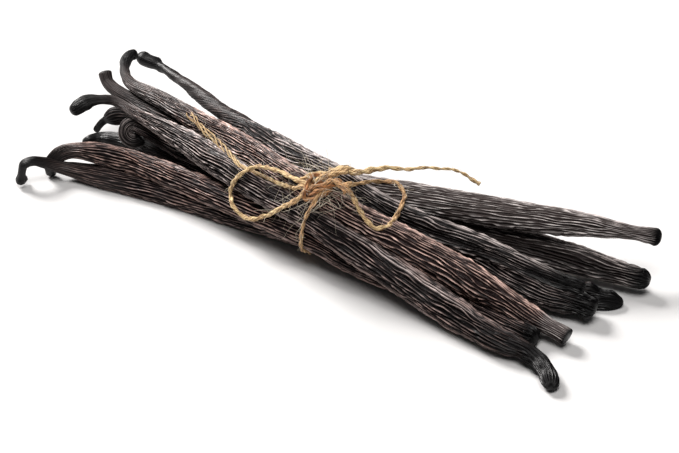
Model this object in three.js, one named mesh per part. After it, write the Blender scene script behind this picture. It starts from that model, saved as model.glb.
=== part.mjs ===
// A bundle of nine cured vanilla pods, tied round the middle with jute twine in a bow.
// Millimetres, +Z up. The pods run along X, stem ends at -X and blossom ends at +X.

import * as THREE from 'three';

const GAP = 0.3;             // clearance left between neighbouring pieces
const PRESS = 0.25;          // how far a pod's underside is pressed flat where it lies
const SIDES = 10;            // sides of a pod's section
const RINGS = 31;            // sections along a pod, between its rounded ends
const BEND_WEIGHT = 14;      // how strongly the sections crowd together in a bend, mm
const GIRTH_WEIGHT = 4;      // the same where the pod swells or narrows
const CURVE_SAMPLES = 400;   // places looked at to share out the sections
const DOME = 0.7;            // length of a rounded end, as a share of its radius
const DOME_RINGS = [0, 0.12, 0.45]; // places of its sections, as shares of that length

const TIE_CENTRE = [-0.6, 13.2]; // middle of the bundle where the twine holds it, across and up
const WAIST = 0.05;          // share of its width that a pod loses under the twine
const WAIST_LENGTH = 12;     // reach of that waist along the pod
const UNDER_WRAP = 7;        // half length of the bundle that the twine lifts off the floor
const WRAP_BAND = 3.5;       // half length of the bundle that the twine passes clear of
const SETTLE_ROUNDS = 220;   // rounds of pushing the pods apart
const LAST_ROUNDS = 44;      // of those, the rounds in which a pod may no longer slide back
const SLIDE_BACK = 0.995;    // share of its shift that a section keeps from round to round
const EVENING = [0.4, 0.1];  // how far a shift follows its neighbours', before and in the last rounds
const NEAR = 9;              // no two pods touch whose middle lines are further apart

const TWINE = 0.72;          // radius of the twine
const TWINE_SIDES = 8;
const WRAP_STEPS = 30;
const WRAP_TURNS = 90;       // directions in which the bundle is measured for the wrap
const WRAP_OPENING = 20;     // degrees left free on each side of the knot
const WRAP_LEAN = [2.6, -1.4]; // where the twine stands along X beside the knot, and under the bundle

const KNOT_AT = 117;         // degrees round the bundle, from the back over the top
const KNOT_X = 2.5;
const KNOT_SIZE = [5, 3.7, 2.6]; // half its length along X, across and outwards
const KNOT_SIDES = 20;
const KNOT_RINGS = 9;
const KNOT_STRANDS = 5;      // grooves between its strands
const KNOT_GROOVE = 0.07;    // their depth, as a share of its radius
const KNOT_TWIST = 1.6;      // turn of the grooves from end to end, radians

const DARK_BROWN = 0x2a1f1d;
const RED_BROWN = 0x3b2621;
const BLACK_BROWN = 0x1d1818;
const STRAW = 0xc9a76a;

// girth is the half width at distances from the stem end, ending the same from the blossom end.
// flat is thickness over width and roll turns that section, in degrees. tie is the pod's place,
// across and up, where the twine holds the bundle. stem and blossom are the points that its middle
// line passes through on its way to the two ends.
const PODS = {
  pod_1: {
    girth: [[0, 1.75], [2.4, 1.4], [14, 1.4], [34, 2.85]],
    ending: [[40, 2.85], [14, 2.2], [4, 1.6], [0, 1.2]],
    flat: 0.9, roll: 0, colour: DARK_BROWN, tie: [-3, 4.5],
    stem: [
      [-86, -32, 1.4], [-85.5, -32, 4.3], [-85.2, -31.2, 6.9], [-83.6, -29, 7.6], [-82, -26.5, 6.5],
      [-80, -23, 4.5], [-75, -19.3, 3.2], [-61, -14.2, 2.9], [-45, -10, 3.1], [-25, -6.6, 3.6],
    ],
    blossom: [[20, 1.8, 3.8], [40, 9.5, 3.4], [60, 21, 2.8], [76, 29.5, 2]],
  },
  pod_2: {
    girth: [[0, 1.2], [4, 1.6], [12, 1.9], [22, 2.8], [60, 3], [85, 3.2]],
    ending: [[60, 2.9], [40, 2.7], [14, 2.4], [0, 2.4]],
    flat: 0.9, roll: 30, colour: DARK_BROWN, tie: [-7.9, 8.6],
    stem: [
      [-80.5, -26.6, 3.8], [-80.1, -27, 5.8], [-79.8, -27.1, 8.2], [-79.3, -25.6, 9.6],
      [-78.3, -22, 9.7], [-75.5, -17.8, 8.8], [-64, -12, 7.5], [-45, -9.6, 7.4], [-22, -8.8, 8.2],
    ],
    blossom: [[12, -6, 6], [24, -3.4, 4], [38, 0.6, 3.4], [56, 1.2, 3.3], [68.6, 2, 2.8]],
  },
  pod_3: {
    girth: [[0, 2.3], [5, 2.3], [8, 1.5], [14, 1.5], [56, 3.1], [92, 3.2], [112, 3.8]],
    ending: [[38, 4], [24, 3.1], [12, 2.15], [3, 2], [0, 2.1]],
    flat: 0.88, roll: -25, colour: DARK_BROWN, tie: [-8.1, 15.1],
    stem: [
      [-87.4, -10.4, 13.8], [-85.6, -8.5, 14.9], [-84.3, -6, 16.2], [-82.5, -4, 16.6], [-80.3, -2, 16.5],
      [-77.5, -1.1, 16.3], [-70.5, -1.6, 16], [-55, -2.3, 15.8], [-39, -4.2, 15.8], [-18, -7, 15.6],
    ],
    blossom: [
      [11, -7.8, 13], [22, -6.8, 10.2], [32, -5.9, 7.4], [43, -5.4, 5], [55, -5.9, 3.9], [63.6, -6, 3.4],
      [70, -5.2, 3.1], [75, -6.2, 2.6], [79, -8.4, 2.2], [82.3, -11.8, 1.9],
    ],
  },
  pod_4: {
    girth: [[0, 2.05], [3, 2], [8, 2.2], [34, 3.1]],
    ending: [[60, 3.1], [20, 3], [5, 2.4], [0, 2.5]],
    flat: 0.88, roll: 10, colour: BLACK_BROWN, tie: [-0.6, 12.8],
    stem: [
      [-90.2, 6.7, 18.4], [-88.2, 5.8, 16], [-84.8, 5.5, 14.8], [-81, 5.7, 14.1], [-76, 5.8, 13.4],
      [-57.5, 5.8, 12.6], [-35.5, 4.3, 12.4],
    ],
    blossom: [
      [13, 3.4, 11.4], [24, 7.4, 9], [41, 13, 6.2], [57.5, 15.4, 4], [65, 17.2, 3.4], [71, 19.4, 2.9],
      [73.8, 20.2, 2.7],
    ],
  },
  pod_5: {
    girth: [[0, 1.5], [4, 1.45], [14, 1.5], [36, 2.6], [75, 2.95], [115, 2.8], [138, 3.1]],
    ending: [[34, 3.1], [14, 2.1], [0, 1.85]],
    flat: 0.88, roll: -15, colour: RED_BROWN, tie: [-4.4, 20],
    stem: [
      [-91.8, 21.8, 16.4], [-93, 20, 16.2], [-91, 15.6, 16], [-86.6, 11.2, 16.2], [-81, 7.8, 16.7],
      [-76, 6.6, 17.2], [-69, 6.1, 17.7], [-60, 4.8, 18.2], [-49, 3.1, 18.8], [-33.6, 1, 19.3],
      [-15, -2.6, 20],
    ],
    blossom: [
      [14, -3, 17.2], [27, -0.6, 14.1], [38, 1.5, 11.4], [50, 3.2, 8], [62, 4.2, 5.2], [74.6, 6, 2.6],
    ],
  },
  pod_6: {
    girth: [[0, 1.8], [1.5, 2], [6, 1.95], [8.5, 1], [14, 1.05], [32, 1.7], [72, 3.05]],
    ending: [[60, 3.1], [36, 2.6], [14, 1.9], [4, 1.5], [0, 1.5]],
    flat: 0.86, roll: 20, colour: DARK_BROWN, tie: [1.9, 22],
    stem: [
      [-93.8, 24.7, 13.5], [-90, 25.2, 13.1], [-86.4, 24.9, 13], [-82, 24.1, 13.2], [-75.6, 22.5, 13.4],
      [-62.2, 18.6, 14.2], [-49, 15, 15.3], [-30, 9.2, 17.6], [-15, 5, 20],
    ],
    blossom: [
      [14, 3.6, 17.8], [30, 8.2, 14.4], [40.7, 12, 11.8], [48.7, 13.8, 10.4], [56, 15.4, 9.1],
      [63.4, 17.6, 8], [69.6, 20, 7.2],
    ],
  },
  pod_7: {
    girth: [[0, 1.2], [4, 2.1], [20, 2.9]],
    ending: [[34, 2.9], [8, 2], [0, 1.8]],
    flat: 0.9, roll: 0, colour: BLACK_BROWN, tie: [3, 4.9],
    stem: [
      [-85.4, -8, 3.2], [-83, -6.8, 4.4], [-78, -4.8, 5.4], [-70, -2.4, 5.2], [-45, 0.8, 3.6], [-22, 2, 3.4],
    ],
    blossom: [[22, 8, 3.8], [40, 16.6, 3.2], [54, 23.6, 2.4]],
  },
  pod_8: {
    girth: [[0, 0.95], [5.4, 0.95], [6.6, 2.3], [8.4, 2.75], [11, 2.6], [16, 1.5], [46, 3.1]],
    ending: [[30, 3.1], [16.5, 2.5], [9.5, 2], [4, 1.9], [0, 2.15]],
    flat: 0.9, roll: 15, colour: DARK_BROWN, tie: [6.6, 17],
    stem: [
      [-89.2, 0, 1.1], [-88, 1.1, 3.1], [-86.6, 2.3, 5], [-84.3, 4.2, 6.3], [-81.4, 6, 6.8],
      [-66, 8.6, 7.2], [-45, 8.7, 9], [-20, 7.6, 13.4],
    ],
    blossom: [[14, 11, 18], [34, 21.2, 17], [50, 30, 16], [62, 37.5, 15], [72.5, 44, 13.8], [75.8, 46, 13.3]],
  },
  pod_9: {
    girth: [[0, 1.25], [18, 1.4], [46, 3.2], [88, 3.3], [114, 4.3]],
    ending: [[50, 4.3], [14, 3.7], [4, 3.2], [0, 3.2]],
    flat: 0.92, roll: -20, colour: BLACK_BROWN, tie: [7, 10.2],
    stem: [[-65.6, 2.2, 7.8], [-45, 4, 6.8], [-22, 6.4, 7]],
    curl: {
      centre: [-73.2, 1, 6.4], radius: 2.5, from: 330, to: 70, points: 8,
      across: [0.77, 0.64, 0], rise: [-0.37, 0.44, 0.82],
    },
    blossom: [
      [22, 15, 9], [37, 23.6, 7.8], [50, 29.4, 6.6], [59, 32.6, 5.7], [69, 35.8, 4.8], [78, 38.6, 4.2],
    ],
  },
};

// The free ends of the twine, in the finished part's own frame.
const FREE_TWINE = {
  loop_left: {
    steps: 17,
    points: [
      [0.1, -13, 23.2], [-2.3, -13.5, 23.9], [-6.3, -13.7, 23.9], [-10.3, -14, 23.4],
      [-14.6, -14.1, 21.5], [-16.5, -16, 20.1], [-18.2, -17.5, 17.4], [-20.2, -17.2, 12.7],
      [-16.9, -19.7, 10.7], [-13.5, -19.8, 9.1], [-9.7, -19.7, 9.9], [-6.4, -18.5, 11.8],
      [-1, -19.1, 16.7], [1.6, -17.6, 19], [2.5, -15.4, 19.3],
    ],
  },
  tail_left: {
    steps: 11,
    points: [
      [1.1, -14.6, 21.8], [-1.9, -14.4, 21.1], [-6.2, -14, 20.3], [-11.7, -13.1, 19.4],
      [-15.5, -13.5, 19.6], [-18.8, -13.7, 19.7], [-25, -11.5, 19.5], [-31.4, -9.3, 19.8],
      [-37.8, -8.1, 20.8], [-46, -5.7, 21.8],
    ],
  },
  loop_right: {
    steps: 18,
    points: [
      [12.4, -10.8, 27.1], [15.7, -11.4, 26.8], [16.4, -9.4, 23.1], [19.7, -11, 21.6],
      [22.8, -11.8, 19.9], [26.1, -11.7, 18.6], [28.1, -9.7, 19.1], [27.3, -5, 19.3],
      [26.6, -1.6, 21.1], [23.2, 3.2, 21.2], [19.9, 4.1, 22.1], [16.7, 2.7, 21.8],
      [15.2, -1.6, 23.2], [14.1, -5.6, 24.2], [12, -7.4, 23.6],
    ],
  },
  tail_right: {
    steps: 14,
    points: [
      [7.6, -8.4, 26.8], [10.1, -7.7, 28.3], [11.9, -6.1, 27.4], [14.2, -4.3, 27.2],
      [15.9, -0.6, 26.9], [18.7, 3.3, 26.8], [21.8, 5.5, 26.4], [24.8, 8.9, 26.5],
      [28.4, 12.1, 26.2], [31, 14.3, 25.8], [33.3, 15.7, 25], [35.3, 16.4, 23.8],
      [37.9, 17.2, 22.6],
    ],
  },
};

const UP = new THREE.Vector3(0, 0, 1);
const TIE = new THREE.Vector3(0, ...TIE_CENTRE);
const radians = THREE.MathUtils.degToRad;
const smooth = THREE.MathUtils.smoothstep;
const mix = THREE.MathUtils.lerp;

// The half width at distance s, eased between stations of [distance, half width].
function eased(stations, s) {
  const next = stations.findIndex(([at]) => at >= s);
  if (next === 0) return stations[0][1];
  if (next < 0) return stations[stations.length - 1][1];
  const [from, before] = stations[next - 1];
  const [to, after] = stations[next];
  return mix(before, after, smooth(s, from, to));
}

// The ring into which a stem end is rolled, in the plane of its two axes.
function curlPoints({ centre, radius, from, to, points, across, rise }) {
  return Array.from({ length: points }, (_, i) => {
    const turn = radians(mix(from, to, i / (points - 1)));
    const point = new THREE.Vector3(...centre);
    point.addScaledVector(new THREE.Vector3(...across), radius * Math.cos(turn));
    return point.addScaledVector(new THREE.Vector3(...rise), radius * Math.sin(turn));
  });
}

const toVectors = (points) => points.map((p) => new THREE.Vector3(...p));

// Distances along a curve for the sections: closer together where the pod bends, swells or narrows.
function spacing(curve, stations, first, last) {
  const length = curve.getLength();
  const cost = [0];
  for (let i = 1; i <= CURVE_SAMPLES; i += 1) {
    const s = mix(first, last, i / CURVE_SAMPLES);
    const before = mix(first, last, (i - 1) / CURVE_SAMPLES);
    const turn = curve.getTangentAt(before / length).angleTo(curve.getTangentAt(s / length));
    const change = Math.abs(eased(stations, s) - eased(stations, before));
    cost.push(cost[i - 1] + (s - before) + BEND_WEIGHT * turn + GIRTH_WEIGHT * change);
  }
  return Array.from({ length: RINGS }, (_, k) => {
    const wanted = (k / (RINGS - 1)) * cost[CURVE_SAMPLES];
    const next = cost.findIndex((c) => c >= wanted);
    const at = next < 0 ? CURVE_SAMPLES : Math.max(1, next);
    const share = (wanted - cost[at - 1]) / (cost[at] - cost[at - 1]);
    return mix(first, last, (at - 1 + share) / CURVE_SAMPLES);
  });
}

// The sections of a pod before it settles: place, half width and thickness over width.
function layOut(pod) {
  const curl = pod.curl ? curlPoints(pod.curl) : [];
  const points = [...curl, ...toVectors([...pod.stem, [0, ...pod.tie], ...pod.blossom])];
  const curve = new THREE.CatmullRomCurve3(points, false, 'centripetal');
  curve.arcLengthDivisions = 3 * CURVE_SAMPLES;
  const length = curve.getLength();
  const stations = [...pod.girth, ...pod.ending.map(([back, width]) => [length - back, width])];
  const startDome = DOME * stations[0][1];
  const endDome = DOME * stations[stations.length - 1][1];
  const along = [
    ...DOME_RINGS.map((share) => share * startDome),
    ...spacing(curve, stations, startDome, length - endDome),
    ...DOME_RINGS.toReversed().map((share) => length - share * endDome),
  ];
  return along.map((s) => {
    const place = curve.getPointAt(s / length);
    const start = 1 - Math.min(1, s / startDome);
    const end = 1 - Math.min(1, (length - s) / endDome);
    const dome = Math.sqrt(1 - start * start) * Math.sqrt(1 - end * end);
    const waist = 1 - WAIST * Math.exp(-((place.x / WAIST_LENGTH) ** 2));
    return { place, wanted: place.clone(), width: dome * waist * eased(stations, s), flat: pod.flat };
  });
}

// Gives every section its tangent and its two section axes, carried without twist from the middle.
function setFrames(sections, roll) {
  const last = sections.length - 1;
  sections.forEach((section, i) => {
    const ahead = sections[Math.min(last, i + 1)].place;
    const behind = sections[Math.max(0, i - 1)].place;
    section.tangent = ahead.clone().sub(behind).normalize();
  });
  const middle = sections.reduce((best, s, i) => (
    Math.abs(s.place.x) < Math.abs(sections[best].place.x) ? i : best), 0);
  const carry = (section, from) => {
    section.rise = from.clone().addScaledVector(section.tangent, -from.dot(section.tangent)).normalize();
  };
  carry(sections[middle], UP);
  for (let i = middle + 1; i <= last; i += 1) carry(sections[i], sections[i - 1].rise);
  for (let i = middle - 1; i >= 0; i -= 1) carry(sections[i], sections[i + 1].rise);
  const angle = radians(roll);
  sections.forEach((section) => {
    const side = section.rise.clone().cross(section.tangent);
    section.wide = side.clone().multiplyScalar(Math.cos(angle));
    section.wide.addScaledVector(section.rise, Math.sin(angle));
    section.thin = section.wide.clone().cross(section.tangent).negate();
  });
}

// How far a section reaches in a direction.
function reach(section, direction) {
  const wide = section.width * direction.dot(section.wide);
  const thin = section.width * section.flat * direction.dot(section.thin);
  return Math.hypot(wide, thin);
}

// Pushes a section of one pod and the stretch of another apart where they are closer than the gap.
function part(section, a, b) {
  const stretch = b.place.clone().sub(a.place);
  const offset = section.place.clone().sub(a.place);
  const share = THREE.MathUtils.clamp(offset.dot(stretch) / stretch.lengthSq(), 0, 1);
  const away = offset.addScaledVector(stretch, -share);
  const distance = away.length();
  if (distance > NEAR) return;
  away.normalize();
  const room = reach(section, away) + mix(reach(a, away), reach(b, away), share) + GAP;
  if (distance >= room) return;
  const push = 0.5 * (room - distance);
  section.place.addScaledVector(away, push);
  a.place.addScaledVector(away, -push * (1 - share));
  b.place.addScaledVector(away, -push * share);
}

// Lets the pods settle: they push each other apart, lie on the floor and stay smooth.
function settle(pods) {
  for (let round = 0; round < SETTLE_ROUNDS; round += 1) {
    pods.forEach((one) => pods.forEach((other) => {
      if (one === other) return;
      one.forEach((section) => {
        for (let i = 1; i < other.length; i += 1) part(section, other[i - 1], other[i]);
      });
    }));
    const last = round >= SETTLE_ROUNDS - LAST_ROUNDS;
    pods.forEach((sections) => {
      const shift = sections.map((s) => s.place.clone().sub(s.wanted));
      sections.forEach((s, i) => {
        const before = shift[Math.max(0, i - 1)];
        const after = shift[Math.min(shift.length - 1, i + 1)];
        const even = before.clone().add(after).multiplyScalar(0.5);
        const settled = shift[i].clone().lerp(even, EVENING[last ? 1 : 0]);
        s.place.copy(s.wanted).addScaledVector(settled, last ? 1 : SLIDE_BACK);
        const floor = Math.abs(s.place.x) < UNDER_WRAP ? 2 * (TWINE + GAP) : -PRESS;
        s.place.z = Math.max(s.place.z, reach(s, UP) + floor);
      });
    });
  }
}

// A closed skin over rings of equal count, with a point at each end.
function skin(rings, startPole, endPole) {
  const sides = rings[0].length;
  const index = [];
  const ring = (i, j) => i * sides + (j % sides);
  for (let i = 0; i < rings.length - 1; i += 1) {
    for (let j = 0; j < sides; j += 1) {
      index.push(ring(i, j), ring(i, j + 1), ring(i + 1, j + 1));
      index.push(ring(i, j), ring(i + 1, j + 1), ring(i + 1, j));
    }
  }
  const start = rings.length * sides;
  const end = start + 1;
  for (let j = 0; j < sides; j += 1) {
    index.push(start, ring(0, j + 1), ring(0, j));
    index.push(end, ring(rings.length - 1, j), ring(rings.length - 1, j + 1));
  }
  const points = [...rings.flat(), startPole, endPole];
  const geometry = new THREE.BufferGeometry();
  const positions = points.flatMap((p) => [p.x, p.y, p.z]);
  geometry.setAttribute('position', new THREE.Float32BufferAttribute(positions, 3));
  geometry.setIndex(index);
  geometry.computeVertexNormals();
  return geometry;
}

function podGeometry(sections) {
  const rings = sections.slice(1, -1).map((section) => (
    Array.from({ length: SIDES }, (_, j) => {
      const turn = ((j + 0.5) / SIDES) * 2 * Math.PI;
      const point = section.place.clone();
      point.addScaledVector(section.wide, section.width * Math.cos(turn));
      point.addScaledVector(section.thin, section.width * section.flat * Math.sin(turn));
      point.z = Math.max(0, point.z);
      return point;
    })));
  return skin(rings, sections[0].place, sections[sections.length - 1].place);
}

// The section of a pod where it crosses the plane at x.
function sectionAt(sections, x) {
  const next = sections.findIndex((s, i) => i > 0 && (s.place.x - x) * (sections[i - 1].place.x - x) <= 0);
  const a = sections[next - 1];
  const b = sections[next];
  const share = (x - a.place.x) / (b.place.x - a.place.x);
  return { ...a, place: a.place.clone().lerp(b.place, share), width: mix(a.width, b.width, share) };
}

// The radius, at an angle round the bundle, at which taut twine passes over the pods.
function wrapRadius(pods) {
  const turns = Array.from({ length: WRAP_TURNS }, (_, k) => (k / WRAP_TURNS) * 2 * Math.PI);
  const held = pods.flatMap((sections) => [-WRAP_BAND, 0, WRAP_BAND].map((x) => sectionAt(sections, x)));
  const support = turns.map((turn) => {
    const out = new THREE.Vector3(0, Math.cos(turn), Math.sin(turn));
    const reaches = held.map((s) => s.place.clone().sub(TIE).dot(out) + reach(s, out));
    return Math.max(...reaches) + TWINE + GAP;
  });
  return (angle) => {
    const ahead = turns.map((turn) => Math.cos(turn - angle));
    const crossings = support.map((radius, k) => (ahead[k] > 0 ? radius / ahead[k] : Infinity));
    return Math.min(...crossings);
  };
}

const around = (x, angle, radius) => (
  new THREE.Vector3(x, radius * Math.cos(angle), radius * Math.sin(angle)).add(TIE));

// A length of twine along a list of points.
function twineGeometry(points, steps) {
  const section = Array.from({ length: TWINE_SIDES }, (_, k) => {
    const turn = (k / TWINE_SIDES) * 2 * Math.PI;
    return new THREE.Vector2(TWINE * Math.cos(turn), TWINE * Math.sin(turn));
  });
  const extrudePath = new THREE.CatmullRomCurve3(points, false, 'centripetal');
  return new THREE.ExtrudeGeometry(new THREE.Shape(section), { steps, extrudePath, bevelEnabled: false });
}

function wrapPoints(radiusAt) {
  const [beside, under] = WRAP_LEAN;
  return Array.from({ length: WRAP_STEPS + 1 }, (_, k) => {
    const turn = mix(WRAP_OPENING, 360 - WRAP_OPENING, k / WRAP_STEPS);
    const angle = radians(KNOT_AT + turn);
    return around(mix(beside, under, (1 - Math.cos(radians(turn))) / 2), angle, radiusAt(angle));
  });
}

// The knot: a ball drawn out along X, with the grooves of its strands running round it.
function knotGeometry(radiusAt) {
  const [long, wide, high] = KNOT_SIZE;
  const angle = radians(KNOT_AT);
  const centre = around(KNOT_X, angle, radiusAt(angle) - TWINE + high);
  const out = new THREE.Vector3(0, Math.cos(angle), Math.sin(angle));
  const across = new THREE.Vector3(0, -Math.sin(angle), Math.cos(angle));
  const rings = Array.from({ length: KNOT_RINGS }, (_, i) => {
    const along = Math.cos(Math.PI * (i + 1) / (KNOT_RINGS + 1));
    const ring = Math.sqrt(1 - along * along);
    return Array.from({ length: KNOT_SIDES }, (__, j) => {
      const turn = (j / KNOT_SIDES) * 2 * Math.PI;
      const groove = 1 - KNOT_GROOVE * (1 + Math.cos(KNOT_STRANDS * turn + KNOT_TWIST * along));
      const point = centre.clone();
      point.x += long * along;
      point.addScaledVector(across, wide * ring * groove * Math.cos(turn));
      return point.addScaledVector(out, high * ring * groove * Math.sin(turn));
    });
  });
  const pole = new THREE.Vector3(long, 0, 0);
  return skin(rings, centre.clone().add(pole), centre.clone().sub(pole));
}

const names = Object.keys(PODS);
const laid = names.map((name) => {
  const sections = layOut(PODS[name]);
  setFrames(sections, PODS[name].roll);
  return sections;
});
settle(laid);
laid.forEach((sections, i) => setFrames(sections, PODS[names[i]].roll));

const group = new THREE.Group();
function add(name, geometry, color) {
  const material = new THREE.MeshStandardMaterial({ color, roughness: 0.5, metalness: 0 });
  const mesh = new THREE.Mesh(geometry, material);
  mesh.name = name;
  group.add(mesh);
}
laid.forEach((sections, i) => add(names[i], podGeometry(sections), PODS[names[i]].colour));

const radiusAt = wrapRadius(laid);
add('twine_wrap', twineGeometry(wrapPoints(radiusAt), WRAP_STEPS), STRAW);
add('twine_knot', knotGeometry(radiusAt), STRAW);

// The origin moves to the floor under the middle of the bundle.
const box = new THREE.Box3().setFromObject(group);
const middle = box.getCenter(new THREE.Vector3());
group.children.forEach((mesh) => mesh.geometry.translate(-middle.x, -middle.y, 0));

Object.entries(FREE_TWINE).forEach(([name, { points, steps }]) => {
  add(name, twineGeometry(toVectors(points), steps), STRAW);
});

export default group;
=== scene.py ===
"""The looks of a bundle of cured vanilla pods tied with jute twine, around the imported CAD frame.

Metres, +Z up. A pod is a surface over the distance along its middle line and the turn round it: its CAD
section, pushed out by the height of its wrinkles. Twine is plies carried along its route.
"""

import math

import bpy
import numpy as np
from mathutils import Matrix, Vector


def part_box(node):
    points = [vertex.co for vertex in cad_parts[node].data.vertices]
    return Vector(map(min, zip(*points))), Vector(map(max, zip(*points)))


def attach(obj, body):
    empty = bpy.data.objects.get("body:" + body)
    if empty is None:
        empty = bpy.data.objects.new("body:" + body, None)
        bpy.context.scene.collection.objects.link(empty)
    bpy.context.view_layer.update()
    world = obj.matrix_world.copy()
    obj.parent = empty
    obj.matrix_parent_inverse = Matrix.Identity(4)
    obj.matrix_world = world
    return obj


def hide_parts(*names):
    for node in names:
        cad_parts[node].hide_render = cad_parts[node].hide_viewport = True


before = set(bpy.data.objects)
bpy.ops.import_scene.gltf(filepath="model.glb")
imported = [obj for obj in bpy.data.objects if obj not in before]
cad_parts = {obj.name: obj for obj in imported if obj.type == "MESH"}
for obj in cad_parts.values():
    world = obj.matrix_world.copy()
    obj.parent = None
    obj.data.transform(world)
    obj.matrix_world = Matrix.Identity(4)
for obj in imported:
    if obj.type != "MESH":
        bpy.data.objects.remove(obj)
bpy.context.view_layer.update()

MM = 0.001

# --- camera ---------------------------------------------------------------------------------------

CAMERA_PLACE = (0.32575, -0.38361, 0.35359)
CAMERA_AIM = (0.00983, -0.00711, 0.00945)
CAMERA_LENS = 118.98        # mm
SENSOR_WIDTH = 36           # mm
NEAREST_SEEN = 10 * MM


def look_at(thing, place, aim):
    """Places a camera or lamp and turns it so that its -Z axis runs from place to aim."""
    thing.location = place
    thing.rotation_euler = (Vector(aim) - Vector(place)).to_track_quat("-Z", "Y").to_euler()


camera = bpy.data.objects.new("camera", bpy.data.cameras.new("camera"))
camera.data.lens = CAMERA_LENS
camera.data.sensor_width = SENSOR_WIDTH
camera.data.clip_start = NEAREST_SEEN
look_at(camera, CAMERA_PLACE, CAMERA_AIM)
bpy.context.scene.collection.objects.link(camera)
bpy.context.scene.camera = camera

# --- shapes ---------------------------------------------------------------------------------------

TAU = 2 * math.pi


def unit(vectors):
    """Each vector over its length."""
    return vectors / np.linalg.norm(vectors, axis=-1, keepdims=True)


def distances(points):
    """How far along its own line each point lies."""
    steps = np.linalg.norm(np.diff(points, axis=0), axis=1)
    return np.concatenate([[0], np.cumsum(steps)])


def through(stations, values, at, held=False):
    """A smooth curve through values at uneven stations: between two, the cubic with the slope of both.

    Where held, it rises and falls only as the values do: a slope is the harmonic mean of its two sides'."""
    slope = np.gradient(values, stations, axis=0)
    if held:
        sides = np.diff(values, axis=0) / np.diff(stations)[:, None]
        product = sides[:-1] * sides[1:]
        slope[[0, -1]] = 0
        slope[1:-1] = np.where(product > 0, 2 * product / np.where(product > 0, sides[:-1] + sides[1:], 1), 0)
    i = np.clip(np.searchsorted(stations, at) - 1, 0, len(stations) - 2)
    step = stations[i + 1] - stations[i]
    t = (at - stations[i]) / step
    if values.ndim == 2:
        step, t = step[:, None], t[:, None]
    rest = 1 - t
    start = rest * rest * ((1 + 2 * t) * values[i] + t * step * slope[i])
    end = t * t * ((1 + 2 * rest) * values[i + 1] - rest * step * slope[i + 1])
    return start + end


def eased(pairs, at):
    """Values between (station, value) pairs, easing in and out of each by 3 t^2 - 2 t^3."""
    stations, values = np.array(pairs, float).T
    i = np.clip(np.searchsorted(stations, at) - 1, 0, len(stations) - 2)
    t = np.clip((at - stations[i]) / (stations[i + 1] - stations[i]), 0, 1)
    return values[i] + (values[i + 1] - values[i]) * t * t * (3 - 2 * t)


def carried_frames(middle, first):
    """At each point of a line its direction and two axes square to it, carried along without twist."""
    along = unit(np.gradient(middle, axis=0))
    side = np.empty_like(middle)
    side[0] = first - along[0] * (first @ along[0])
    for i in range(1, len(middle)):
        side[i] = side[i - 1] - along[i] * (side[i - 1] @ along[i])
        side[i] /= np.linalg.norm(side[i])
    side = unit(side)
    return along, side, np.cross(along, side)


def cell_noise(rng, around, along, cells, pitch):
    """Smooth random heights from -1 to 1: values at the corners of cells, eased between them.

    around is in turns and its cells close round the piece; along is in metres, a cell every pitch."""
    row = along / pitch
    row = row - row.min()
    corner = rng.uniform(-1, 1, (int(row.max()) + 2, cells))
    column = (around % 1) * cells
    i, j = row.astype(int), column.astype(int) % cells
    ti, tj = row - np.floor(row), column - np.floor(column)
    ti, tj = ti * ti * (3 - 2 * ti), tj * tj * (3 - 2 * tj)
    near = corner[i, j] * (1 - tj) + corner[i, (j + 1) % cells] * tj
    far = corner[i + 1, j] * (1 - tj) + corner[i + 1, (j + 1) % cells] * tj
    return near * (1 - ti) + far * ti


def tube_faces(count, sides, first=0):
    """Quads over count rings of sides points, and a fan to a pole at each end, whose points come last."""
    ring = first + np.arange(count * sides).reshape(count, sides)
    turned = np.roll(ring, -1, axis=1)
    quads = np.stack([ring[:-1], turned[:-1], turned[1:], ring[1:]], -1).reshape(-1, 4)
    start = np.full(sides, first + count * sides)
    fans = [np.stack([start, turned[0], ring[0]], -1), np.stack([start + 1, ring[-1], turned[-1]], -1)]
    return quads, np.concatenate(fans)


class Surface:
    """Closed tubes gathered into one mesh, with a float or vector attribute for each name given."""

    def __init__(self):
        self.points, self.quads, self.fans, self.marks = [], [], [], {}
        self.count = 0

    def add_tube(self, rings, poles, marks):
        """rings is (stations, sides, 3), poles the two end points, marks name to (stations, sides[, 3])."""
        stations, sides = rings.shape[:2]
        quads, fans = tube_faces(stations, sides, self.count)
        self.quads.append(quads)
        self.fans.append(fans)
        self.points += [rings.reshape(-1, 3), np.asarray(poles)]
        self.count += stations * sides + 2
        for name, values in marks.items():
            ends = np.stack([values[0].mean(0), values[-1].mean(0)])
            flat = values.reshape(stations * sides, *values.shape[2:])
            self.marks.setdefault(name, []).extend([flat, ends])

    def piece(self, name, material):
        """The mesh as an object at the origin, shaded smooth."""
        mesh = bpy.data.meshes.new(name)
        points = np.concatenate(self.points).astype(np.float32)
        quads, fans = np.concatenate(self.quads), np.concatenate(self.fans)
        corners = np.concatenate([quads.ravel(), fans.ravel()]).astype(np.int32)
        starts = np.concatenate([np.arange(len(quads)) * 4, quads.size + np.arange(len(fans)) * 3])
        mesh.vertices.add(len(points))
        mesh.vertices.foreach_set("co", points.ravel())
        mesh.loops.add(len(corners))
        mesh.loops.foreach_set("vertex_index", corners)
        mesh.polygons.add(len(starts))
        mesh.polygons.foreach_set("loop_start", starts.astype(np.int32))
        mesh.update(calc_edges=True)
        mesh.shade_smooth()
        for mark, parts in self.marks.items():
            values = np.concatenate(parts).astype(np.float32)
            kind, key = ("FLOAT", "value") if values.ndim == 1 else ("FLOAT_VECTOR", "vector")
            mesh.attributes.new(mark, kind, "POINT").data.foreach_set(key, values.ravel())
        mesh.materials.append(material)
        piece = bpy.data.objects.new(name, mesh)
        bpy.context.scene.collection.objects.link(piece)
        return piece


# --- materials ------------------------------------------------------------------------------------


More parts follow.
